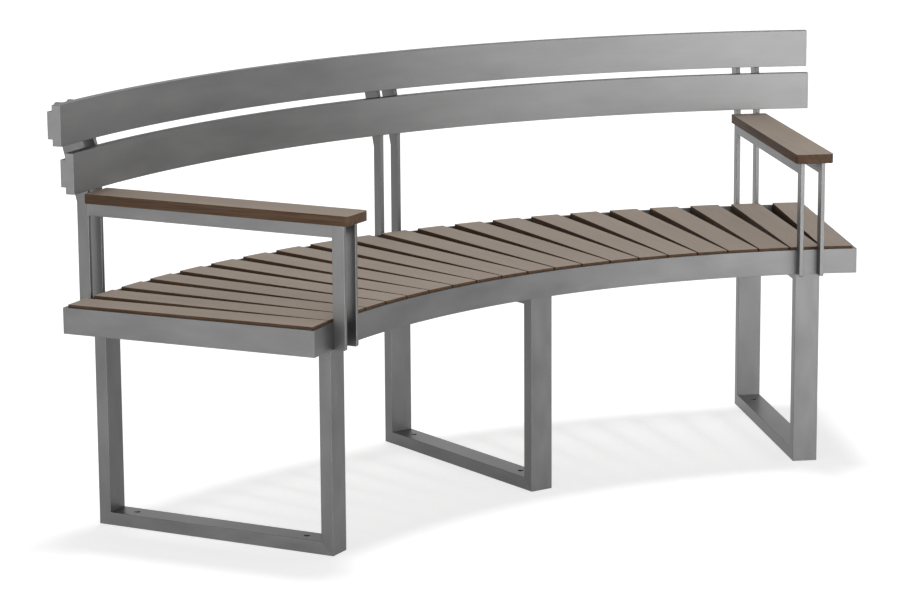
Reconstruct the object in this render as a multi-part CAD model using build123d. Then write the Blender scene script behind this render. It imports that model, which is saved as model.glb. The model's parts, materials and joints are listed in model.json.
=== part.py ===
from build123d import *
import os
from math import asin, atan, cos, degrees, radians, sin, sqrt, tan

os.makedirs("parts", exist_ok=True)

# Curved garden bench, millimetres. +Z is up, the concave front of the seat faces -Y.
# Every piece is drawn around the centre of the arc, with the bench behind it at +Y, and all of
# them are moved together at the end, so that the origin is under the middle of the bench.

# Driving sizes of the seat ring
front_radius = 1250.0
seat_depth = 525.0
seat_height = 445.0
rail_height = 50.0
rail_thickness = 6.0
slat_stand = 5.0

# Driving sizes of the slats
slat_count = 21
slat_width = 62.0
slat_thickness = 25.0
slat_front_gap = 3.2
slat_end_gap = 1.0
slat_side_gap = 2.0
slat_edge_radius = 1.0

# Driving sizes of the bearers under the slats
bearer_size = 20.0
bearer_wall = 2.0
bearer_inset = 60.0

# Driving sizes of the leg frames
support_inset = 60.0
tube_width = 50.0
tube_depth = 25.0
tube_wall = 2.0
tube_corner_radius = 1.0
leg_overlap = 10.0
anchor_hole_diameter = 12.0
anchor_sleeve_wall = 3.0
anchor_inset = 45.0

# Driving sizes of the flat bars that carry the arms and the back
bar_width = 25.0
bar_thickness = 8.0
bar_edge = 0.5
post_foot_corner = 2.0
arm_height = 196.0
lean_angle = 16.0
post_seat_width = 47.0
post_top_drop = 12.0
post_tip_cut = 10.0
seat_overlap = 6.0

# Driving sizes of the armrest boards
arm_board_thickness = 19.0
arm_board_width = 76.0
arm_board_overhang = 16.0
arm_board_gap = 1.0
arm_board_corner = 8.0
arm_board_rear_corner = 2.0
arm_board_edge = 1.0
arm_tab_length = 40.0
arm_tab_thickness = 5.0
arm_tab_inset = 60.0

# Driving sizes of the curved back boards
back_board_height = 77.0
back_board_thickness = 18.0
back_rib_height = 52.0
back_rib_thickness = 10.0
back_board_gap = 11.0
back_board_rise = 13.0
back_board_setback = 25.0
lower_board_inset = 4.0
back_board_edge = 0.7

# Driving sizes of the screws
screw_diameter = 5.0
screw_clearance = 0.1
screw_head_diameter = 10.0
screw_head_height = 4.0
screw_bite = 13.0
screw_access_diameter = 12.0

# Cutters run past what they cut by this much
overrun = 20.0

# Heights that follow from the driving sizes
rail_top = seat_height - slat_stand
rail_bottom = rail_top - rail_height
slat_bottom = seat_height - slat_thickness
bearer_bottom = slat_bottom - bearer_size
loop_top = rail_bottom + leg_overlap
arm_top = seat_height + arm_height
arm_board_bottom = arm_top - arm_board_thickness
arm_bar_bottom = arm_board_bottom - bar_width
lower_board_bottom = arm_top + back_board_rise
upper_board_bottom = lower_board_bottom + back_board_height + back_board_gap
back_top = upper_board_bottom + back_board_height
rib_margin = (back_board_height - back_rib_height) / 2

# Radii that follow from the driving sizes
back_radius = front_radius + seat_depth
ring_inner_front = front_radius + rail_thickness
ring_inner_back = back_radius - rail_thickness
slat_front = ring_inner_front + slat_end_gap
slat_back = ring_inner_back - slat_end_gap
back_profile_depth = back_board_thickness + back_rib_thickness
lower_board_radius = back_radius - lower_board_inset - back_profile_depth
upper_board_radius = lower_board_radius + back_board_setback

# Flat faces against the curved rails stand where their corners just touch
half_tube = tube_width / 2
post_offset = half_tube - bar_thickness / 2
loop_front = ring_inner_front
loop_back = sqrt(ring_inner_back**2 - half_tube**2)
front_post_back = sqrt(front_radius**2 - half_tube**2)

# Angles that follow from the driving sizes
slat_pitch_angle = 2 * degrees(atan((slat_width + slat_front_gap) / 2 / slat_front))
end_slat_angle = slat_pitch_angle * (slat_count - 1) / 2
support_angle = end_slat_angle - degrees(asin(support_inset / front_radius))
end_offset = slat_width / 2 + slat_side_gap + rail_thickness
end_angle = end_slat_angle + degrees(asin(end_offset / front_radius))
board_angle = end_slat_angle + degrees(asin(end_offset / back_radius))
spare_angle = end_angle + slat_pitch_angle
lean_slope = tan(radians(lean_angle))

support_angles = {"left": -support_angle, "middle": 0, "right": support_angle}
end_sides = {"left": -1, "right": 1}


def turned(shape, angle):
    """Turn a piece drawn on the +Y axis around the arc centre, clockwise seen from above."""
    return shape.rotate(Axis.Z, -angle)


def block(x_low, x_high, y_low, y_high, z_low, z_high):
    size = (x_high - x_low, y_high - y_low, z_high - z_low)
    return Pos(x_low, y_low, z_low) * Box(*size, align=(Align.MIN, Align.MIN, Align.MIN))


def side_plate(outline, thickness):
    """A plate in the radial plane x = 0, from its (y, z) outline."""
    return extrude(Plane.YZ * make_face(Polyline(*outline, close=True)), thickness / 2, both=True)


def flat_bar(outline):
    """A piece of the flat bar from its (y, z) outline, with the edges of both sides eased."""
    plate = side_plate(outline, bar_thickness)
    sides = plate.faces().filter_by(Plane.YZ).sort_by(Axis.X)
    return chamfer(sides[0].edges() + sides[-1].edges(), bar_edge)


def swept_band(outline, half_angle):
    """A (radius, z) outline turned around the arc centre through twice the half angle."""
    face = turned(Plane.YZ * make_face(Polyline(*outline, close=True)), half_angle)
    return revolve(face, Axis.Z, 2 * half_angle)


def band(inner, outer, bottom, top, half_angle):
    return swept_band([(inner, bottom), (outer, bottom), (outer, top), (inner, top)], half_angle)


def end_cutter(side, distance):
    """All that lies past the end of the ring, this far out from the end slat's middle."""
    reach = seat_depth / 2
    front = front_radius - reach
    back = back_radius + reach
    cutter = block(distance, distance + reach, front, back, -overrun, back_top)
    if side < 0:
        cutter = cutter.mirror(Plane.YZ)
    return turned(cutter, side * end_slat_angle)


def trimmed(shape, distance):
    for side in end_sides.values():
        shape = shape - end_cutter(side, distance)
    return shape


def eased(low, high, bottom, top, ease):
    """Outline of a rectangle with its four corners cut off by the ease."""
    return [
        (low + ease, bottom),
        (high - ease, bottom),
        (high, bottom + ease),
        (high, top - ease),
        (high - ease, top),
        (low + ease, top),
        (low, top - ease),
        (low, bottom + ease),
    ]


def curved_rail(inner):
    """Flat bar on edge, rolled to the arc, that closes the front or the back of the ring."""
    outline = eased(inner, inner + rail_thickness, rail_bottom, rail_top, bar_edge)
    return trimmed(swept_band(outline, spare_angle), end_offset)


def end_rail(side):
    """Straight flat bar beside the outermost slat, between the two curved rails."""
    inner = end_offset - rail_thickness
    bar = block(inner, end_offset, front_radius, back_radius, rail_bottom, rail_top)
    if side < 0:
        bar = bar.mirror(Plane.YZ)
    bar = turned(bar, side * end_slat_angle)
    return bar & band(ring_inner_front, ring_inner_back, rail_bottom, rail_top, spare_angle)


def slat_angles():
    return [slat_pitch_angle * index - end_slat_angle for index in range(slat_count)]


def bearer_middles():
    front = ring_inner_front + bearer_inset
    back = ring_inner_back - bearer_inset
    return {"front": front, "rear": back}


def upright_hole(radius, diameter, bottom, top):
    """Cutter for a round hole along Z, on the +Y axis."""
    return Pos(0, radius, (bottom + top) / 2) * Cylinder(diameter / 2, top - bottom)


def screw_hole(radius, bottom, top):
    return upright_hole(radius, screw_diameter + 2 * screw_clearance, bottom, top)


def seat_bearer(middle):
    """Square tube rolled to the arc. Each slat screw goes in through a wide hole below."""
    inner = middle - bearer_size / 2
    outer = middle + bearer_size / 2
    tube = band(inner, outer, bearer_bottom, slat_bottom, spare_angle)
    bore = band(
        inner + bearer_wall,
        outer - bearer_wall,
        bearer_bottom + bearer_wall,
        slat_bottom - bearer_wall,
        spare_angle,
    )
    tube = trimmed(tube - bore, end_offset - rail_thickness)
    centre = (bearer_bottom + slat_bottom) / 2
    access = upright_hole(middle, screw_access_diameter, bearer_bottom - overrun, centre)
    hole = screw_hole(middle, centre, slat_bottom + overrun)
    holes = [turned(cutter, angle) for cutter in (access, hole) for angle in slat_angles()]
    return tube - holes


def seat_slat():
    """One board of the seat, on the +Y axis, with eased top edges."""
    half = slat_width / 2
    slat = block(-half, half, slat_front, slat_back, slat_bottom, seat_height)
    slat = fillet(slat.faces().sort_by(Axis.Z)[-1].edges(), slat_edge_radius)
    for middle in bearer_middles().values():
        hole_top = slat_bottom + screw_bite + screw_clearance
        slat = slat - screw_hole(middle, slat_bottom - overrun, hole_top)
    return slat


def screw(length):
    """Pan-head screw that points up, with its seat at z = 0."""
    shank = Cylinder(screw_diameter / 2, length, align=(Align.CENTER, Align.CENTER, Align.MIN))
    head = Cylinder(
        screw_head_diameter / 2, screw_head_height, align=(Align.CENTER, Align.CENTER, Align.MAX)
    )
    return shank + head


def slat_screws():
    """Screws with their heads inside the bearers, against the upper wall."""
    fixing = screw(bearer_wall + screw_bite)
    seat = slat_bottom - bearer_wall
    return [
        turned(Pos(0, middle, seat) * fixing, angle)
        for middle in bearer_middles().values()
        for angle in slat_angles()
    ]


def mitred_tube(length):
    """Rectangular tube along +Y with its outer face at z = 0 and both ends cut at 45 degrees."""
    outer = RectangleRounded(tube_width, tube_depth, tube_corner_radius)
    bore = Rectangle(tube_width - 2 * tube_wall, tube_depth - 2 * tube_wall)
    tube = extrude(Plane.XZ.offset(-length) * Pos(0, tube_depth / 2) * (outer - bore), length)
    ends = [(0, 0), (length, 0), (length - tube_depth, tube_depth), (tube_depth, tube_depth)]
    return tube & side_plate(ends, tube_width)


def leg_frame():
    """The four mitred tubes of one closed leg frame, on the +Y axis."""
    length = loop_back - loop_front
    flat = mitred_tube(length)
    upright = mitred_tube(loop_top)
    quarter = upright.rotate(Axis.X, 90)
    return {
        "foot_beam": anchored(Pos(0, loop_front, 0) * flat),
        "top_beam": Pos(0, loop_front, loop_top) * flat.mirror(Plane.XY),
        "front_leg": Pos(0, loop_front, 0) * quarter.mirror(Plane.XZ),
        "rear_leg": Pos(0, loop_back, 0) * quarter,
    }


def anchor_places():
    inset = tube_depth + anchor_inset
    return [loop_front + inset, loop_back - inset]


def anchored(beam):
    """Add the two sleeves that the ground anchors pass through."""
    for place in anchor_places():
        middle = Pos(0, place, tube_depth / 2)
        beam = beam + middle * Cylinder(anchor_hole_diameter / 2 + anchor_sleeve_wall, tube_depth)
        beam = beam - middle * Cylinder(anchor_hole_diameter / 2, tube_depth + 2 * overrun)
    return beam


def front_post():
    """Upright flat bar against the front rail, from its lower edge to the armrest."""
    low = front_post_back - bar_width
    outline = [
        (low, rail_bottom + post_foot_corner),
        (low + post_foot_corner, rail_bottom),
        (front_post_back, rail_bottom),
        (front_post_back, arm_board_bottom),
        (low, arm_board_bottom),
    ]
    return flat_bar(outline)


def arm_bar():
    """Level flat bar on edge under the armrest, between the front and the rear post."""
    outline = [
        (front_post_back, arm_bar_bottom),
        (back_radius, arm_bar_bottom),
        (back_radius, arm_board_bottom),
        (front_post_back, arm_board_bottom),
    ]
    return flat_bar(outline)


def lean_at(height):
    return (height - arm_board_bottom) * lean_slope


def back_post():
    """Plate that stands up behind the seat. Its back edge leans, and each board has a seat in front."""
    rear = back_radius + bar_width
    strip = rear - post_seat_width
    lower_seat = back_radius - lower_board_inset
    upper_seat = lower_seat + back_board_setback
    low_start = lower_board_bottom + rib_margin - seat_overlap
    low_end = lower_board_bottom + back_board_height - rib_margin + seat_overlap
    high_start = upper_board_bottom + rib_margin - seat_overlap / 2
    top = back_top - post_top_drop
    outline = [
        (back_radius, rail_bottom),
        (back_radius, low_start),
        (lower_seat, low_start),
        (lower_seat, low_end),
        (strip + lean_at(low_end), low_end),
        (strip + lean_at(high_start), high_start),
        (upper_seat, high_start),
        (upper_seat, top),
        (rear + lean_at(top) - post_tip_cut, top),
        (rear + lean_at(top - post_tip_cut), top - post_tip_cut),
        (rear, arm_board_bottom),
        (rear, rail_bottom),
    ]
    return flat_bar(outline)


def armrest_board():
    """Flat board on the two arm bars, with rounded front corners and eased edges."""
    half = arm_board_width / 2
    front = front_post_back - bar_width - arm_board_overhang
    back = back_radius - arm_board_gap
    board = block(-half, half, front, back, arm_board_bottom, arm_top)
    corners = board.edges().filter_by(Axis.Z).sort_by(Axis.Y)
    board = fillet(corners[:2], arm_board_corner)
    corners = board.edges().filter_by(Axis.Z).sort_by(Axis.Y)
    board = fillet(corners[-2:], arm_board_rear_corner)
    board = fillet(board.faces().sort_by(Axis.Z)[-1].edges(), arm_board_edge)
    hole_top = arm_board_bottom + screw_bite + screw_clearance
    for place in arm_tab_places():
        board = board - screw_hole(place, arm_board_bottom - overrun, hole_top)
    return board


def arm_tab_places():
    front = front_post_back + arm_tab_inset
    back = back_radius - arm_tab_inset
    return [front, back]


def arm_tab(place):
    """Flat tab between the two arm bars that the armrest is screwed to."""
    half = post_offset - bar_thickness / 2
    reach = arm_tab_length / 2
    low = arm_board_bottom - arm_tab_thickness
    tab = block(-half, half, place - reach, place + reach, low, arm_board_bottom)
    return tab - screw_hole(place, low - overrun, arm_board_bottom + overrun)


def arm_tabs():
    return [
        turned(arm_tab(place), side * support_angle)
        for side in end_sides.values()
        for place in arm_tab_places()
    ]


def armrest_screws():
    fixing = screw(arm_tab_thickness + screw_bite)
    low = arm_board_bottom - arm_tab_thickness
    return [
        turned(Pos(0, place, low) * fixing, side * support_angle)
        for side in end_sides.values()
        for place in arm_tab_places()
    ]


def back_board(radius, bottom):
    """Curved board with a lower rib along its back, rolled as one section."""
    top = bottom + back_board_height
    face = radius + back_board_thickness
    rib = face + back_rib_thickness
    rib_low = bottom + rib_margin
    rib_high = top - rib_margin
    ease = back_board_edge
    outline = [
        (radius, bottom + ease),
        (radius + ease, bottom),
        (face, bottom),
        (face, rib_low),
        (rib, rib_low),
        (rib, rib_high),
        (face, rib_high),
        (face, top),
        (radius + ease, top),
        (radius, top - ease),
    ]
    return swept_band(outline, board_angle)


def ring_pieces():
    pieces = {
        "front_rail": curved_rail(front_radius),
        "rear_rail": curved_rail(ring_inner_back),
    }
    for name, side in end_sides.items():
        pieces[f"{name}_end_rail"] = end_rail(side)
    for name, middle in bearer_middles().items():
        pieces[f"{name}_seat_bearer"] = seat_bearer(middle)
    return pieces


def slat_pieces():
    slat = seat_slat()
    pieces = {
        f"seat_slat_{index:02d}": turned(slat, angle)
        for index, angle in enumerate(slat_angles(), start=1)
    }
    pieces["slat_screws"] = Compound(children=slat_screws())
    return pieces


def leg_pieces():
    frame = leg_frame()
    return {
        f"{place}_{name}": turned(piece, angle)
        for place, angle in support_angles.items()
        for name, piece in frame.items()
    }


def arm_pieces():
    pieces = {}
    bars = {"front_post": front_post(), "arm_bar": arm_bar()}
    board = armrest_board()
    for name, side in end_sides.items():
        for bar_name, bar in bars.items():
            for position, direction in (("outer", side), ("inner", -side)):
                placed = Pos(direction * post_offset, 0, 0) * bar
                pieces[f"{name}_{position}_{bar_name}"] = turned(placed, side * support_angle)
        pieces[f"{name}_armrest"] = turned(board, side * support_angle)
    pieces["armrest_tabs"] = Compound(children=arm_tabs())
    pieces["armrest_screws"] = Compound(children=armrest_screws())
    return pieces


def back_pieces():
    post = back_post()
    pieces = {}
    for place, angle in support_angles.items():
        for name, step in (("left", -post_offset), ("right", post_offset)):
            pieces[f"{place}_back_post_{name}"] = turned(Pos(step, 0, 0) * post, angle)
    pieces["lower_back_board"] = back_board(lower_board_radius, lower_board_bottom)
    pieces["upper_back_board"] = back_board(upper_board_radius, upper_board_bottom)
    return pieces


def main():
    pieces = {**ring_pieces(), **slat_pieces(), **leg_pieces(), **arm_pieces(), **back_pieces()}
    boxes = [piece.bounding_box() for piece in pieces.values()]
    front = min(box.min.Y for box in boxes)
    back = max(box.max.Y for box in boxes)
    middle = (front + back) / 2
    for name, piece in pieces.items():
        export_step(piece.moved(Pos(0, -middle, 0)), f"parts/{name}.step")
    print("pieces", len(pieces))
    print("arc centre at y", round(-middle, 3))
    print("slat pitch", round(slat_pitch_angle, 4), "end angle", round(end_angle, 4))
    for place, angle in support_angles.items():
        for radius in anchor_places():
            x = radius * sin(radians(angle))
            y = radius * cos(radians(angle)) - middle
            print("anchor", place, round(x, 3), round(y, 3))


main()
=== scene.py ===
# %% [markdown]
# # A curved garden bench, dressed for its portrait
#
# The bench is a ring of flat steel bar, filled with 21 boards that all point at one centre. Three
# closed frames of box tube carry it, and pairs of slim bars carry the armrests and two curved
# boards of the back. The construction comes from the imported model and is never moved. This lesson
# gives it its finish: satin steel with a fine lengthwise grain, and brown composite boards with a
# soft sheen, partly real and partly painted on their tops. Blender may start with a cube, a lamp
# and a camera of its own, so those go first.

# %% Load the imported frame
import json
from functools import partial
from math import asin, atan, cos, degrees, pi, radians, sin

import bpy
from mathutils import Matrix, Vector

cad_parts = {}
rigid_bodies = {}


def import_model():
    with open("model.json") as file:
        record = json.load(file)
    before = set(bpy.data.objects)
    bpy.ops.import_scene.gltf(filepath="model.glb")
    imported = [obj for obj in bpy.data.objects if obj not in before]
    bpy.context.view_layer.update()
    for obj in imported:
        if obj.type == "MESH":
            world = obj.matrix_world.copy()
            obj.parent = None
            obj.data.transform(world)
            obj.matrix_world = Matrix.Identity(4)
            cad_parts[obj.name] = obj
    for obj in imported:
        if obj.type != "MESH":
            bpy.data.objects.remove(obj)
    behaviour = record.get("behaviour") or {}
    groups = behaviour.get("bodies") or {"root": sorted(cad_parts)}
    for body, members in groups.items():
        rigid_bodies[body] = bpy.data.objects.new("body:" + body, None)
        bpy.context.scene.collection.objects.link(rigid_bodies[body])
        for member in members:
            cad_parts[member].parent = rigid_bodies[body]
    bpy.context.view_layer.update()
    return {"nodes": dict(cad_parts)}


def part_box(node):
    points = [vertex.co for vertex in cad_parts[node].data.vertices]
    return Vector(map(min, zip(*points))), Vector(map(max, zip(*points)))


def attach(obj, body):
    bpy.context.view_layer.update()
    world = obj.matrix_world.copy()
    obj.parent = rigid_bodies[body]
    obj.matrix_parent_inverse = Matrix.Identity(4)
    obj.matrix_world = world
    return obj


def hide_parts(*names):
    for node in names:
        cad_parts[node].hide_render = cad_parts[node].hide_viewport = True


for leftover in list(bpy.data.objects):
    bpy.data.objects.remove(leftover)

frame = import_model()
print("pieces in the frame", len(frame["nodes"]))

# %% [markdown]
# ## Where the centre of the arc is
#
# Everything on this bench is laid out around one upright axis in front of it, so most pieces are
# easiest to describe by a radius and an angle. A few sizes of the steel and of the gaps are given
# here, and the frame says the rest: the back of the front rail is one radius and one bar thickness
# away from the axis.

# %% Sizes that the whole bench shares
front_radius = 1.250
rail_thickness = 0.006
slat_front_gap = 0.0032
slat_side_gap = 0.002
slat_count = 21

rail_low, rail_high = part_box("front_rail")
arc_y = rail_high.y - front_radius - rail_thickness
rail_bottom, rail_top = rail_low.z, rail_high.z

middle_low, middle_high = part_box("seat_slat_11")
slat_width = middle_high.x - middle_low.x
slat_front = middle_low.y - arc_y
slat_back = middle_high.y - arc_y
slat_bottom, seat_height = middle_low.z, middle_high.z

back_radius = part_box("rear_rail")[1].y - arc_y
ring_inner_front = front_radius + rail_thickness
ring_inner_back = back_radius - rail_thickness
print("centre of the arc at y", round(arc_y, 4))

# %% [markdown]
# ## Angles of the slats, the ends and the supports
#
# Neighbouring slats nearly touch at their front corners, and that gap sets the angle from one slat
# to the next. The end rails stand beside the outermost slats. The leg frames, the front posts and
# the back posts stand in line on three radii. The angle of the right-hand one is read from its foot
# beam, because the middle of that beam lies on the radius.

# %% Work the angles out
slat_pitch = 2 * atan((slat_width + slat_front_gap) / 2 / slat_front)
end_slat_angle = slat_pitch * (slat_count - 1) / 2
end_offset = slat_width / 2 + slat_side_gap + rail_thickness
board_angle = end_slat_angle + asin(end_offset / back_radius)

foot_low, foot_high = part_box("right_foot_beam")
foot_middle = (foot_low + foot_high) / 2
support_angle = Vector((0, 1)).angle(Vector((foot_middle.x, foot_middle.y - arc_y)))
support_angles = {"left": -support_angle, "middle": 0.0, "right": support_angle}
print("half angle of the back boards", round(degrees(board_angle), 3))
print("supports at", [round(degrees(a), 2) for a in support_angles.values()])

# %% [markdown]
# ## Shader sums written as Python
#
# A finish is mostly arithmetic on coordinates. Adding and joining Math nodes by hand hides the
# formula, so a small class wraps one output of a node tree. A sum or a product of two of them adds
# the Math node and returns its output, and `node` adds any other kind of node. A noise is a number
# from 0 to 1, and `swing` turns it into a change around zero, so that a finish keeps its mean.


# %% The class that wraps a node's output
class Wire:
    """An output of a node tree. Operators on it add Math nodes, and node() adds any other node."""

    def __init__(self, tree, output=None):
        self.tree = tree
        self.output = output

    def node(self, kind, settings=None, sockets=None, out=0):
        made = self.tree.nodes.new(kind)
        for name, value in (settings or {}).items():
            setattr(made, name, value)
        for name, value in (sockets or {}).items():
            if isinstance(value, Wire):
                self.tree.links.new(value.output, made.inputs[name])
            else:
                made.inputs[name].default_value = value
        return Wire(self.tree, made.outputs[out] if made.outputs else None)

    def math(self, operation, *values):
        return self.node("ShaderNodeMath", {"operation": operation}, dict(enumerate(values)))

    def __add__(self, other):
        return self.math("ADD", self, other)

    def __radd__(self, other):
        return self.math("ADD", other, self)

    def __sub__(self, other):
        return self.math("SUBTRACT", self, other)

    def __rsub__(self, other):
        return self.math("SUBTRACT", other, self)

    def __mul__(self, other):
        return self.math("MULTIPLY", self, other)

    def __rmul__(self, other):
        return self.math("MULTIPLY", other, self)

    def __truediv__(self, other):
        return self.math("DIVIDE", self, other)

    def __rtruediv__(self, other):
        return self.math("DIVIDE", other, self)

    def clamped(self, low=0.0, high=1.0):
        return self.math("MINIMUM", self.math("MAXIMUM", self, low), high)

    def smooth(self, low, high):
        """0 below low, 1 above high, and a smooth step between."""
        settings = {"interpolation_type": "SMOOTHSTEP"}
        sockets = {"Value": self, "From Min": low, "From Max": high}
        return self.node("ShaderNodeMapRange", settings, sockets)

    def noise(self, place, detail=2.0, roughness=0.5):
        """Noise from 0 to 1 at a place, which is three wires or numbers in cells of the noise."""
        vector = self.node("ShaderNodeCombineXYZ", None, dict(enumerate(place)))
        sockets = {"Vector": vector, "Scale": 1.0, "Detail": detail, "Roughness": roughness}
        return self.node("ShaderNodeTexNoise", None, sockets)

    def swing(self, amount):
        """A noise as a change around zero, from minus to plus half of the amount."""
        return amount * (self - 0.5)

    def mix(self, first, second):
        """The first colour where this wire is 0 and the second where it is 1."""
        settings = {"data_type": "RGBA"}
        return self.node("ShaderNodeMix", settings, {0: self, 6: first, 7: second}, out=2)

    def blend(self, first, second):
        """The first shader where this wire is 0 and the second where it is 1."""
        return self.node("ShaderNodeMixShader", None, {0: self, 1: first, 2: second})

    def scaled(self, colour):
        """A colour times this wire, through Vector Math, so that it keeps its hue."""
        settings = {"operation": "SCALE"}
        return self.node("ShaderNodeVectorMath", settings, {0: colour, "Scale": self})


def grey(level):
    return (level, level, level, 1.0)


print("shader sums ready")

# %% [markdown]
# ## Coordinates that follow the metal
#
# The grain of ground or drawn steel runs along each bar. On a straight bar that is one direction,
# and on a rolled bar it bends with the arc. Small functions turn the object's coordinates into
# metres along the bar, across it and up it, so that one recipe can serve every piece. The other
# way would be to unwrap each mesh by hand, but formulas stay right when a size changes.


# %% Coordinates from the axis of the arc
def place_in_object(wire):
    """The object's own coordinates, which are the bench's, as three wires."""
    coordinates = wire.node("ShaderNodeTexCoord", out="Object")
    return [wire.node("ShaderNodeSeparateXYZ", None, {0: coordinates}, out=i) for i in range(3)]


def place_from_axis(wire):
    """The object's coordinates, measured from the axis of the arc."""
    x, y, z = place_in_object(wire)
    return x, y - arc_y, z


def angle_and_radius(x, y):
    return x.math("ARCTAN2", x, y), x.math("SQRT", x * x + y * y)


print("the axis of the arc passes x 0, y", round(arc_y, 4))


# %% Coordinates along a bar
def along_arc(wire):
    """Metres around the arc, outwards and up."""
    x, y, z = place_from_axis(wire)
    angle, radius = angle_and_radius(x, y)
    return angle * front_radius, radius, z


def along_radius(wire, angle):
    """Metres outwards along one radius, sideways from it and up."""
    x, y, z = place_from_axis(wire)
    outwards = x * sin(angle) + y * cos(angle)
    sideways = x * cos(angle) - y * sin(angle)
    return outwards, sideways, z


def along_upright(wire, angle):
    """Metres up, and then sideways from and outwards along one radius."""
    outwards, sideways, z = along_radius(wire, angle)
    return z, sideways, outwards


print("coordinates for arcs, radii and uprights ready")

# %% [markdown]
# ## A material with one shader
#
# Every finish ends in one Principled shader. What is the same all over a surface is set on its
# socket as a number. What varies comes in as a wire, and only into the colour, the roughness and
# the normal, which an export can bake.


# %% Start and end a material
def material(name):
    """A material without nodes, and the wire that its nodes start from."""
    made = bpy.data.materials.new(name)
    made.use_nodes = True
    made.node_tree.nodes.clear()
    return made, Wire(made.node_tree)


def finish_with(wire, constants, varying, relief=None):
    """Join a Principled shader to the output. The relief is a height and its depth in metres."""
    sockets = dict(constants)
    sockets.update(varying)
    if relief:
        height, depth = relief
        bump = {"Height": height, "Distance": depth, "Strength": 1.0}
        sockets["Normal"] = wire.node("ShaderNodeBump", None, bump)
    shader = wire.node("ShaderNodeBsdfPrincipled", None, sockets)
    wire.node("ShaderNodeOutputMaterial", None, {"Surface": shader})


print("materials can be started and ended")

# %% [markdown]
# ## Satin steel
#
# The bars and tubes are stainless steel, ground to a satin face. Close up, the grinding belt leaves
# hair-thin lines along the bar. From a few steps away the lines merge, and what remains is a soft,
# cloudy change of tone over a hand's width. So the recipe has three noises: lines stretched a
# hundred times along the bar, clouds stretched nearly three times, and a faint speckle. They shift
# the colour and the roughness a little, and the lines also press a very shallow relief.

# %% The steel recipe
steel_tone = 0.13
steel_roughness = 0.42
line_cells = (14, 1400)
cloud_cells = (9, 24)
speckle_cells = (350, 420)
line_depth = 0.00002


def stretched(place, cells):
    """A place in cells of a noise: so many to a metre along the grain, and so many across it."""
    along, across, up = place
    return along * cells[0], across * cells[1], up * cells[1]


def steel(name, place_on_bar):
    made, wire = material(name)
    place = place_on_bar(wire)
    lines = wire.noise(stretched(place, line_cells), detail=3.0, roughness=0.6)
    clouds = wire.noise(stretched(place, cloud_cells), detail=2.5, roughness=0.55)
    speckle = wire.noise(stretched(place, speckle_cells), detail=1.0)
    shade = 1 + clouds.swing(0.48) + lines.swing(0.14) + speckle.swing(0.04)
    varying = {
        "Base Color": shade.scaled((steel_tone, steel_tone, steel_tone)),
        "Roughness": steel_roughness + clouds.swing(0.12) + lines.swing(0.08),
    }
    finish_with(wire, {"Metallic": 1.0}, varying, (lines, line_depth))
    return made


steel_on_arc = steel("satin_steel_along_the_arc", along_arc)
print("made", steel_on_arc.name)

# %% [markdown]
# ## The same steel on straight bars
#
# Each support turns with its radius, so its grain needs its own angle. A loop makes the recipe
# once for the level bars and once for the upright ones of every support, six materials in all. The
# two end rails lie along the outermost slats and get one each.

# %% Steel for the three supports and the two ends
steel_level = {}
steel_upright = {}
for place, angle in support_angles.items():
    level, upright = partial(along_radius, angle=angle), partial(along_upright, angle=angle)
    steel_level[place] = steel(f"satin_steel_level_{place}", level)
    steel_upright[place] = steel(f"satin_steel_upright_{place}", upright)

end_sides = {"left": -1, "right": 1}
steel_end = {}
for place, side in end_sides.items():
    lengthwise = partial(along_radius, angle=side * end_slat_angle)
    steel_end[place] = steel(f"satin_steel_end_{place}", lengthwise)
print("steel materials", 1 + len(steel_level) + len(steel_upright) + len(steel_end))

# %% [markdown]
# ## Coordinates that know their board
#
# The fibres of a board run along it and end with it, so two boards side by side never share a
# streak. All slats could have one material each, but one for all of them is easier to change. It
# finds the nearest slat from the angle of a point and turns the point back onto that slat's radius.
# The slat's number then moves the pattern on, and each armrest is given a number of its own.


# %% Coordinates along a slat or an armrest
def along_slat(wire):
    """Metres along the slat that a point belongs to, across it and up, and the slat's number."""
    x, y, z = place_from_axis(wire)
    angle, radius = angle_and_radius(x, y)
    number = x.math("ROUND", angle / slat_pitch)
    turned = angle - number * slat_pitch
    return radius * x.math("COSINE", turned), radius * x.math("SINE", turned), z, number


def along_armrest(wire, angle, number):
    return (*along_radius(wire, angle), number)


print("one slat to every", round(degrees(slat_pitch), 3), "degrees")

# %% [markdown]
# ## Brown composite boards
#
# The seat and the armrests are boards of wood fibre and resin. Their sawn sides show a dark brown
# with fine lengthwise fibres. Their tops are painted a paler grey-brown, a painted sheen for the
# light that level faces catch, and they are smoother, with hardly any grain. The recipe mixes the
# two by the way the surface faces: the upward part of the normal is the mask, so the change runs
# over the rounded edge by itself, on every board, and no second material is needed.

# %% Colours and grain of the boards
sawn_brown = (0.070, 0.043, 0.027, 1.0)
sawn_dark = (0.038, 0.021, 0.011, 1.0)
# The two top colours are a painted sheen: level faces are painted paler than the sides for the light
# they catch.
painted_sheen_pale = (0.375, 0.311, 0.259, 1.0)
painted_sheen_dark = (0.342, 0.281, 0.233, 1.0)
board_roughness = 0.61
rubbed_roughness = 0.10
board_ior = 1.18
fibre_cells = (16, 620)
vein_cells = (5, 130)
patch_cells = (6, 14)
fibre_share = 0.55
rubbed_off_share = 0.8
fibre_depth = 0.00006
grain_step = 3.7
side_until, top_from = 0.55, 0.95
streak_low, streak_high = 0.36, 0.64
print("fibres to a metre across a board", fibre_cells[1])


# %% The board recipe
# This mask paints the tops paler, a painted sheen, and also sets their roughness and relief.
def facing_up(wire):
    """1 on a top face, 0 on the sides and below, and a smooth step over a rounded edge."""
    normal = wire.node("ShaderNodeNewGeometry", out="Normal")
    upward = wire.node("ShaderNodeSeparateXYZ", None, {0: normal}, out=2)
    return upward.smooth(side_until, top_from)


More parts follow.
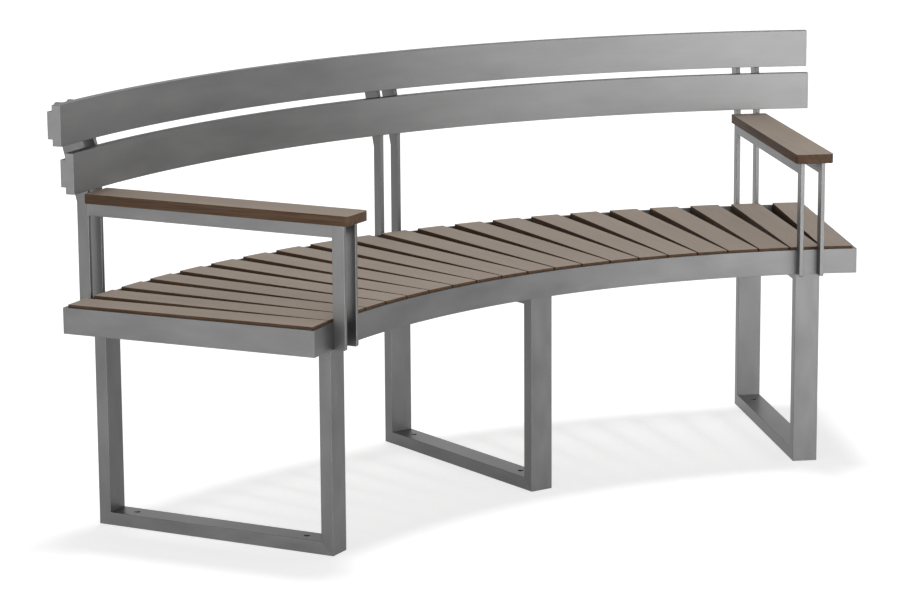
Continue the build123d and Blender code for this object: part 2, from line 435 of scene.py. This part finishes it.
def board(name, place_on_board):
    made, wire = material(name)
    *place, number = place_on_board(wire)
    shift = number * grain_step

    def grain(cells, **look):
        along, across, up = stretched(place, cells)
        return wire.noise((along + shift, across, up), **look)

    fibres = grain(fibre_cells, detail=4.0, roughness=0.62)
    veins = grain(vein_cells, detail=3.0, roughness=0.55)
    patches = grain(patch_cells)
    tone = wire.noise((shift, 0.5, 0.5), detail=0.0)
    streaks = fibre_share * fibres + (1 - fibre_share) * veins
    streaks = streaks.smooth(streak_low, streak_high)
    top = facing_up(wire)
    # Painted sheen: facing up turns the colour from the dark sides to the paler painted tops.
    colour = top.mix(streaks.mix(sawn_dark, sawn_brown), streaks.mix(painted_sheen_dark, painted_sheen_pale))
    shade = 1 + patches.swing(0.14) + tone.swing(0.12)
    roughness = board_roughness + fibres.swing(0.08) + patches.swing(0.06) + rubbed_roughness * top
    relief = fibres * (1 - rubbed_off_share * top)
    varying = {"Base Color": shade.scaled(colour), "Roughness": roughness}
    finish_with(wire, {"IOR": board_ior}, varying, (relief, fibre_depth))
    return made


board_of_seat = board("composite_board_of_the_seat", along_slat)
board_of_arm = {}
for place, number in (("left", 31.0), ("right", 47.0)):
    lengthwise = partial(along_armrest, angle=support_angles[place], number=number)
    board_of_arm[place] = board(f"composite_board_of_the_{place}_armrest", lengthwise)
print("board materials", 1 + len(board_of_arm))

# %% [markdown]
# ## Screws
#
# The screws under the seat are plain stainless ones. They only show through the round holes from
# below, so a turned look without a direction is enough.

# %% The screw recipe
screw_tone = 0.45
screw_roughness = 0.32
screw_cells = (600, 600)


def screw_steel():
    made, wire = material("stainless_screw")
    speckle = wire.noise(stretched(place_from_axis(wire), screw_cells))
    varying = {
        "Base Color": (1 + speckle.swing(0.2)).scaled((screw_tone, screw_tone, screw_tone)),
        "Roughness": screw_roughness + speckle.swing(0.16),
    }
    finish_with(wire, {"Metallic": 1.0}, varying)
    return made


stainless_screw = screw_steel()
print("made", stainless_screw.name)

# %% [markdown]
# ## Dress the pieces that keep their shape
#
# The leg frames, posts, arm bars, bearers, tabs and screws are right as they come from the frame,
# so they only need their steel. Their names say where they stand and whether they are upright. The
# rails and all boards get new meshes further down, with rounder edges and smoother curves.

# %% Give the frame's own pieces their steel
upright_words = ("leg", "post")
remade_endings = ("_rail", "_back_board", "_armrest")


def steel_for(name):
    if "screw" in name:
        return stainless_screw
    if "bearer" in name:
        return steel_on_arc
    place = name.split("_")[0]
    if place not in support_angles:
        return steel_level["middle"]
    if any(word in name for word in upright_words):
        return steel_upright[place]
    return steel_level[place]


dressed = 0
for name, node in frame["nodes"].items():
    if name.startswith("seat_slat_") or name.endswith(remade_endings):
        continue
    for slot in node.material_slots:
        slot.material = steel_for(name)
    dressed += 1
print("pieces dressed as they are", dressed)

# %% [markdown]
# ## Building bars and boards
#
# The rails, the slats, the armrests and the back boards are all a closed outline carried along a
# path. A loft of rings makes them: each ring holds the outline at one station, quads join the
# rings, and the two end rings are capped. A Curve object with a bevel profile could do the same,
# but it can't cut an end at an angle of its own, as the rails need.


# %% Loft rings into a piece
def loft(name, rings):
    """A closed mesh through rings of points, with both ends capped."""
    count = len(rings[0])
    points = [point for ring in rings for point in ring]
    faces = [tuple(range(count))[::-1]]
    for start in range(0, len(points) - count, count):
        for i in range(count):
            j = (i + 1) % count
            faces.append((start + i, start + j, start + count + j, start + count + i))
    faces.append(tuple(range(len(points) - count, len(points))))
    mesh = bpy.data.meshes.new(name)
    mesh.from_pydata(points, [], faces)
    mesh.update()
    origin = mesh.polygons[0].center.copy()
    if sum(face.normal.dot(face.center - origin) for face in mesh.polygons) < 0:
        mesh.flip_normals()
    mesh.shade_smooth()
    piece = bpy.data.objects.new(name, mesh)
    bpy.context.scene.collection.objects.link(piece)
    return piece


print("lofts ready")

# %% [markdown]
# ## Rolled edges
#
# No real edge is a knife edge. A Bevel modifier rolls every sharp edge over, as the grinder or the
# router does, and it catches the light as real edges do, which a bump in the material never does.
# Where two bars are welded flush their edges stay square, or a false groove would show. There a
# test picks the edges that stay, and all other sharp ones get a bevel weight.

# %% Roll the sharp edges over
sharp_angle = radians(40)
edge_steps = 3


def weigh_edges(mesh, stays_square):
    """Weight 1 on each sharp edge, apart from those that stay square and are marked sharp."""
    touching = {tuple(sorted(edge.vertices)): [] for edge in mesh.edges}
    for face in mesh.polygons:
        for key in face.edge_keys:
            touching[tuple(sorted(key))].append(face.normal)
    weights = mesh.attributes.new("bevel_weight_edge", "FLOAT", "EDGE")
    for edge in mesh.edges:
        first, second = touching[tuple(sorted(edge.vertices))]
        corner = first.angle(second) > sharp_angle
        square = corner and stays_square(*(mesh.vertices[v].co for v in edge.vertices))
        edge.use_edge_sharp = square
        weights.data[edge.index].value = 1.0 if corner and not square else 0.0


def rolled_edges(piece, width, stays_square=None):
    bevel = piece.modifiers.new("rolled_edges", "BEVEL")
    bevel.width = width
    bevel.segments = edge_steps
    bevel.harden_normals = True
    bevel.miter_outer = "MITER_ARC"
    bevel.angle_limit = sharp_angle
    if stays_square:
        weigh_edges(piece.data, stays_square)
        bevel.limit_method = "WEIGHT"


def settle(piece, finish, node):
    """Give a piece its finish and let it stand for a node of the frame."""
    piece.data.materials.append(finish)
    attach(piece, "root")
    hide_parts(node)


print("edges above", round(degrees(sharp_angle)), "degrees are rolled over")

# %% [markdown]
# ## The two curved rails
#
# Each rail is a flat bar on edge, rolled to the arc. It runs on past the end rail, which is welded
# square behind it. The end itself is cut parallel to the outermost slat, which gives every radius
# its own angle. One helper works that angle out, and the stations are even shares of it.

# %% The outline of a rail along the arc
arc_steps = 96
arc_shares = [2 * i / arc_steps - 1 for i in range(arc_steps + 1)]
rail_edge = 0.0005


def around(radius, angle, height):
    """A point at a radius from the arc's axis, its angle measured from straight back."""
    return Vector((radius * sin(angle), arc_y + radius * cos(angle), height))


def end_angle_at(radius):
    """Angle at which this radius reaches the plane of the ring's end."""
    return end_slat_angle + asin(end_offset / radius)


def curved_rail(name, face, hidden):
    corners = [(face, rail_bottom), (hidden, rail_bottom), (hidden, rail_top), (face, rail_top)]
    rings = [[around(r, share * end_angle_at(r), z) for r, z in corners] for share in arc_shares]
    return loft(name, rings)


print("the front rail ends at", round(degrees(end_angle_at(front_radius)), 2), "degrees")


# %% Rails cut parallel to the end slats
def seam_of(hidden):
    """A test for the upright edges where the end rail is welded flush behind the rail."""

    def stays_square(first, second):
        upright = abs(first.z - second.z) > rail_thickness
        radii = [Vector((p.x, p.y - arc_y)).length for p in (first, second)]
        return upright and all(abs(r - hidden) < rail_edge for r in radii)

    return stays_square


for name, face, hidden in (
    ("front_rail", front_radius, ring_inner_front),
    ("rear_rail", back_radius, ring_inner_back),
):
    rail = curved_rail(f"satin_{name}", face, hidden)
    rolled_edges(rail, rail_edge, seam_of(hidden))
    settle(rail, steel_on_arc, name)
    print(rail.name, "points", len(rail.data.vertices))

# %% [markdown]
# ## The two end rails
#
# An end rail is a straight bar beside the outermost slat. It butts against the curved rails, so the
# corners of its two end faces lie exactly on their inner radii. Only its long edges are rolled, and
# the butt welds stay flush.

# %% End rails between the curved rails
end_rail_length = ring_inner_back - ring_inner_front


def end_rail(name, side):
    inner, outer = end_offset - rail_thickness, end_offset
    corners = [(inner, rail_bottom), (outer, rail_bottom), (outer, rail_top), (inner, rail_top)]
    turn = side * end_slat_angle
    rings = []
    for radius in (ring_inner_front, ring_inner_back):
        angles = [turn + side * asin(off / radius) for off, _ in corners]
        rings.append([around(radius, a, z) for a, (_, z) in zip(angles, corners)])
    return loft(name, rings)


def butt_end(first, second):
    """True for the edges of an end face, which are shorter than half of the bar."""
    return (first - second).length < end_rail_length / 2


for place, side in end_sides.items():
    rail = end_rail(f"satin_{place}_end_rail", side)
    rolled_edges(rail, rail_edge, butt_end)
    settle(rail, steel_end[place], f"{place}_end_rail")
    print(rail.name, "length", round(end_rail_length, 3))

# %% [markdown]
# ## The seat slats
#
# The 21 boards are alike: sawn to one width and length, with a one millimetre round on every edge.
# Each lies on its own radius. Two rings, one at each end, and the rolled edges are all it takes. A
# linked copy of one mesh would be lighter, but then the copies would have to be turned, and the
# material counts on coordinates that are the bench's own.

# %% A point on a turned board
arc_axis = Vector((0, arc_y, 0))


def on_radius(angle, out, off, height):
    """A point so far out along a radius, so far off to its side, and at a height."""
    outwards = Vector((sin(angle), cos(angle), 0))
    sideways = Vector((cos(angle), -sin(angle), 0))
    return arc_axis + outwards * out + sideways * off + Vector((0, 0, height))


print("the seat starts", round(slat_front, 4), "m from the axis")

# %% Slats in a loop
slat_edge = 0.001


def slat(name, angle):
    half = slat_width / 2
    corners = [(-half, slat_bottom), (half, slat_bottom), (half, seat_height), (-half, seat_height)]
    ends = (slat_front, slat_back)
    return loft(name, [[on_radius(angle, end, off, z) for off, z in corners] for end in ends])


for index in range(slat_count):
    number = f"{index + 1:02d}"
    piece = slat(f"composite_slat_{number}", slat_pitch * index - end_slat_angle)
    rolled_edges(piece, slat_edge)
    settle(piece, board_of_seat, f"seat_slat_{number}")
print("slats", slat_count, "each", round(slat_back - slat_front, 3), "by", round(slat_width, 3))

# %% [markdown]
# ## The outline of an armrest
#
# An armrest is a board with two well rounded corners in front, where a hand or a sleeve passes, and
# two nearly square ones at the back, where it meets the back posts. The outline in plan is a
# rectangle with four quarter circles. A bevel of those corners would give the same curve, but here
# each pair has a radius of its own, and plain points make that easy.

# %% Corners of two sizes
arm_corner = 0.008
arm_rear_corner = 0.002
arm_corner_steps = 6


def rounded_plan(front, back, half):
    """Points of the outline as pairs of outwards and sideways, a quarter turn at each corner."""
    corners = [(back, half, -1, -1, arm_rear_corner), (front, half, 1, -1, arm_corner)]
    corners += [(front, -half, 1, 1, arm_corner), (back, -half, -1, 1, arm_rear_corner)]
    plan = []
    for quarter, (outwards, sideways, inwards, across, radius) in enumerate(corners):
        for step in range(arm_corner_steps + 1):
            turn = (quarter + step / arm_corner_steps) * pi / 2
            out = outwards + inwards * radius + radius * cos(turn)
            plan.append((out, sideways + across * radius + radius * sin(turn)))
    return plan


print("points in an armrest's outline", 4 * (arm_corner_steps + 1))

# %% [markdown]
# ## The armrests
#
# The frame gives the box around each armrest, but the board is turned with its radius, so the
# sides of the box aren't the board's own. The foremost and rearmost points lie on the rounded
# corners, and working back from them gives both ends. The thickness is the distance between the
# two rings.

# %% Armrests from their boxes
arm_board_width = 0.076
arm_edge = 0.001


def armrest(name, place):
    angle = support_angles[place]
    low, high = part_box(f"{place}_armrest")
    half = arm_board_width / 2
    slant = abs(sin(angle))
    foremost = low.y - arc_y + arm_corner + (half - arm_corner) * slant
    rearmost = high.y - arc_y - arm_rear_corner - (half - arm_rear_corner) * slant
    front = foremost / cos(angle) - arm_corner
    back = rearmost / cos(angle) + arm_rear_corner
    plan = rounded_plan(front, back, half)
    print(name, "from radius", round(front, 4), "to", round(back, 4))
    faces = (low.z, high.z)
    return loft(name, [[on_radius(angle, out, off, z) for out, off in plan] for z in faces])


for place in end_sides:
    piece = armrest(f"composite_{place}_armrest", place)
    rolled_edges(piece, arm_edge)
    settle(piece, board_of_arm[place], f"{place}_armrest")

# %% [markdown]
# ## The curved back boards
#
# Each back board is a wide face with a narrower rib along its back. Its section is an outline of
# eight corners, carried around the arc. Its edges are only broken by 0.7 mm, so the front, the ends
# and the tops meet in crisp lines and show as three separate tones.

# %% Back boards around the arc
back_board_thickness = 0.018
back_rib_height = 0.052
back_board_edge = 0.0007


def front_of(node):
    """Radius of the board's face, from its foremost point, which is its end."""
    return (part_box(node)[0].y - arc_y) / cos(board_angle)


def back_board(name, node):
    low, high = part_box(node)
    radius, outer = front_of(node), high.y - arc_y
    face = radius + back_board_thickness
    margin = (high.z - low.z - back_rib_height) / 2
    rib_low, rib_high = low.z + margin, high.z - margin
    outline = [(radius, low.z), (face, low.z), (face, rib_low), (outer, rib_low)]
    outline += [(outer, rib_high), (face, rib_high), (face, high.z), (radius, high.z)]
    rings = [[around(r, share * board_angle, z) for r, z in outline] for share in arc_shares]
    return loft(name, rings)


for name in ("lower_back_board", "upper_back_board"):
    piece = back_board(f"satin_{name}", name)
    rolled_edges(piece, back_board_edge)
    settle(piece, steel_on_arc, name)
    print(piece.name, "radius", round(front_of(name), 4))

# %% [markdown]
# ## The floor
#
# The bench stands on a pale, even studio floor that runs out of sight. Seen by the camera the floor
# is white, and the soft shadow under the seat is only a little darker. A plain white floor
# would show a much deeper shadow, so part of its paleness is a glow that only the camera and the
# reflections see, and the rest is an ordinary matt surface that keeps the shadow. The lamp that
# draws the shadow is weaker further out, so the glow takes over there.

# %% Values of the floor
floor_glow = 0.69
floor_glow_far = 0.80
floor_near = 1.3
floor_far = 4.0
floor_seen_albedo = 0.66
floor_bounce_albedo = 0.80
floor_half = 30.0
print("the glow grows from", floor_near, "to", floor_far, "metres from the bench")


# %% Floor with a faint shadow
def seen_directly(wire):
    """1 for rays from the camera, and for those that metal or glass has reflected or passed on."""
    kinds = ("Camera", "Glossy", "Transmission")
    seen = [wire.node("ShaderNodeLightPath", out=f"Is {kind} Ray") for kind in kinds]
    return (seen[0] + seen[1] + seen[2]).clamped()


def glowing(wire, strength):
    return wire.node("ShaderNodeEmission", None, {"Color": grey(1.0), "Strength": strength})


def matt(wire, albedo):
    return wire.node("ShaderNodeBsdfDiffuse", None, {"Color": grey(albedo)})


def pale_floor():
    made, wire = material("pale_studio_floor")
    x, y, _ = place_in_object(wire)
    away = x.math("SQRT", x * x + y * y).smooth(floor_near, floor_far)
    glow = away.blend(glowing(wire, floor_glow), glowing(wire, floor_glow_far))
    pale = wire.node("ShaderNodeAddShader", None, {0: glow, 1: matt(wire, floor_seen_albedo)})
    shown = seen_directly(wire).blend(matt(wire, floor_bounce_albedo), pale)
    wire.node("ShaderNodeOutputMaterial", None, {"Surface": shown})
    return made


floor_mesh = bpy.data.meshes.new("studio_floor")
floor_points = [(-floor_half, -floor_half, 0), (floor_half, -floor_half, 0)]
floor_points += [(floor_half, floor_half, 0), (-floor_half, floor_half, 0)]
floor_mesh.from_pydata(floor_points, [], [(0, 1, 2, 3)])
floor_mesh.materials.append(pale_floor())
floor = bpy.data.objects.new("studio_floor", floor_mesh)
bpy.context.scene.collection.objects.link(floor)
print("floor", floor.name, "half width", floor_half)

# %% [markdown]
# ## Which lamp reaches what
#
# The floor shows a shadow with a clear outline, but the seat shows no shadow of the armrests. One
# set of lamps can't be small and broad at once. Light linking keeps them apart: each lamp can be
# given a collection of the things that it reaches. The first collection holds the floor alone. The
# second one leaves the floor out, and by that reaches everything else, so the floor stays even.


# %% Two collections for the lamps
def receivers(name, state):
    """A collection that includes or excludes the floor for the lamps that use it."""
    made = bpy.data.collections.new(name)
    made.objects.link(floor)
    made.collection_objects[0].light_linking.link_state = state
    return made


floor_only = receivers("floor_only", "INCLUDE")
all_but_floor = receivers("all_but_floor", "EXCLUDE")
print("collections", floor_only.name, all_but_floor.name)

# %% [markdown]
# ## Soft studio light
#
# A product like this is lit by large soft boxes, so that satin steel gets long, gentle gradients and
# no hard spots. Five of them stand around the bench. The two in front are the strongest and give
# the brightest tone to the faces that look at them. The ones at the sides keep the end faces and
# the far end of the rails from going dark, and a faint one behind lifts the back a little.

# %% Soft boxes
bench_middle = Vector((0.0, 0.0, 0.45))
box_distance = 6.0
box_lift = 7.0
box_height = 2.3
soft_boxes = {
    "left_box": {"heading": -75, "width": 3.0, "power": 126},
    "front_left_box": {"heading": -20, "width": 3.0, "power": 192},
    "front_box": {"heading": 10, "width": 5.0, "power": 176},
    "right_box": {"heading": 90, "width": 5.0, "power": 75},
    "rear_box": {"heading": 145, "width": 4.0, "power": 17},
}


def hang_lamp(lamp, reached, heading, lift, distance):
    """Place a lamp so that it faces the bench. Heading 0 is in front, and it grows to the right."""
    holder = bpy.data.objects.new(lamp.name, lamp)
    bpy.context.scene.collection.objects.link(holder)
    turn, rise = radians(heading), radians(lift)
    back = Vector((sin(turn) * cos(rise), -cos(turn) * cos(rise), sin(rise)))
    holder.location = bench_middle + back * distance
    holder.rotation_euler = back.to_track_quat("Z", "Y").to_euler()
    holder.visible_camera = False
    holder.light_linking.receiver_collection = reached
    print(holder.name, "at", [round(v, 2) for v in holder.location])


for name, box in soft_boxes.items():
    lamp = bpy.data.lights.new(name, "AREA")
    lamp.shape = "RECTANGLE"
    lamp.size = box["width"]
    lamp.size_y = box_height
    lamp.energy = box["power"]
    hang_lamp(lamp, all_but_floor, box["heading"], box_lift, box_distance)

# %% [markdown]
# ## Light from above
#
# The shadow under the bench has a soft but clear outline, and its pale stripes are the wide gaps
# between the boards. One disk high up and a little behind draws that on the floor. The light that
# falls on the seat itself is as broad as a cloudy sky, so it comes from a sun with a very wide
# angle, which leaves no edge of a shadow anywhere.

# %% The high lamp for the floor
floor_lamp_heading = 145
floor_lamp_lift = 81.0
floor_lamp_distance = 9.67
floor_lamp_width = 1.9
floor_lamp_power = 410

floor_lamp = bpy.data.lights.new("floor_lamp", "AREA")
floor_lamp.shape = "DISK"
floor_lamp.size = floor_lamp_width
floor_lamp.energy = floor_lamp_power
hang_lamp(floor_lamp, floor_only, floor_lamp_heading, floor_lamp_lift, floor_lamp_distance)

# %% The broad sun
sky_strength = 1.10
sky_spread = 140.0

broad_sun = bpy.data.lights.new("broad_sun", "SUN")
broad_sun.energy = sky_strength
broad_sun.angle = radians(sky_spread)
sun_holder = bpy.data.objects.new("broad_sun", broad_sun)
sun_holder.light_linking.receiver_collection = all_but_floor
bpy.context.scene.collection.objects.link(sun_holder)
print("the broad sun covers", sky_spread, "degrees")

# %% [markdown]
# ## The world
#
# The studio's walls are white, and its ceiling is dim. The world stands for both: it is pale at the
# horizon and fades upwards, so that upright faces get a soft fill and the lamps keep their say on
# the level ones.

# %% White walls around the studio
horizon_strength = 1.0
zenith_strength = 0.25
wall_reach = 0.5

world = bpy.data.worlds.new("studio_walls")
bpy.context.scene.world = world
world.use_nodes = True
world.node_tree.nodes.clear()
wire = Wire(world.node_tree)
direction = wire.node("ShaderNodeTexCoord", out="Generated")
lift = wire.node("ShaderNodeSeparateXYZ", None, {0: direction}, out=2)
shades = [
    wire.node("ShaderNodeBackground", None, {"Color": grey(1.0), "Strength": strength})
    for strength in (horizon_strength, zenith_strength)
]
surround = lift.smooth(0.0, wall_reach).blend(*shades)
wire.node("ShaderNodeOutputWorld", None, {"Surface": surround})
print("world", world.name)

# %% [markdown]
# ## The camera
#
# The photograph was taken from the left, at eye height, with a long lens. The camera's heading,
# height, distance and focal length were found by matching the edges of the steel ring, the boards
# and the leg frames. It aims at a point that is given from the axis of the arc. A tracking
# constraint could aim it, but the small roll of the photograph would be lost, so its three
# directions are worked out and written as one matrix.

# %% Camera at the photograph's viewpoint
camera_heading = -35.341
camera_height = 11.744
camera_roll = -0.380
camera_distance = 6.6501
camera_lens = 130.595
sensor_width = 36.0
far_clip = 100.0
aim_radius = 1.57047
aim_side = 0.00324
aim_height = 0.32139

turn, rise, roll = radians(camera_heading), radians(camera_height), radians(camera_roll)
back = Vector((sin(turn) * cos(rise), -cos(turn) * cos(rise), sin(rise)))
right = Vector((0, 0, 1)).cross(back).normalized()
up = back.cross(right)
turned_right = right * cos(roll) + up * sin(roll)
turned_up = up * cos(roll) - right * sin(roll)

camera = bpy.data.objects.new("portrait_camera", bpy.data.cameras.new("portrait_camera"))
camera.data.sensor_width = sensor_width
camera.data.sensor_fit = "HORIZONTAL"
camera.data.lens = camera_lens
camera.data.clip_end = far_clip
aim = Vector((aim_side, arc_y + aim_radius, aim_height))
pose = Matrix((turned_right, turned_up, back)).transposed().to_4x4()
pose.translation = aim + back * camera_distance
camera.matrix_world = pose
bpy.context.scene.collection.objects.link(camera)
bpy.context.scene.camera = camera
bpy.context.scene.view_settings.view_transform = "Standard"
print("camera at", [round(v, 3) for v in camera.location])
